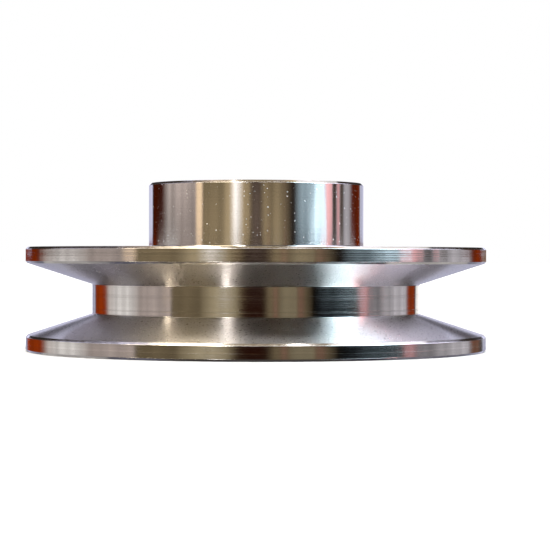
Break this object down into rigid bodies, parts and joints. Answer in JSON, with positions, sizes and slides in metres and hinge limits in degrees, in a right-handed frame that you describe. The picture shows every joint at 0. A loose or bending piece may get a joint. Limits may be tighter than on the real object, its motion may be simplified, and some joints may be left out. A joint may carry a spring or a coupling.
{
  "type": "v-belt pulley",
  "caption": "Bright turned V-belt pulley with a keyed bore and a plain hub on one side, fixed to its shaft by set screws.",
  "frame": {"origin": "centre of the bore, on the rim's free face", "axes": "+Z along the bore, from the rim towards the hub's end; the set screws are in the +Y half of the hub"},
  "size_m": [0.0856, 0.0854, 0.0311],
  "materials": {
    "turned_steel": "bright turned, with fine circumferential tool lines",
    "black_steel": "black oxide, lightly oiled"
  },
  "bodies": {
    "pulley": {"pulley": "turned_steel"},
    "key_set_screw": {"key_set_screw": "black_steel"},
    "shaft_set_screw": {"shaft_set_screw": "black_steel"}
  },
  "joints": [
    {"name": "key_set_screw_travel", "type": "slide", "parent": "pulley", "child": "key_set_screw", "axis": [0.7071, 0.7071, 0], "range_m": [-0.0007, 0.0063]},
    {"name": "shaft_set_screw_travel", "type": "slide", "parent": "pulley", "child": "shaft_set_screw", "axis": [-0.7071, 0.7071, 0], "range_m": [-0.0004, 0.0091]}
  ]
}
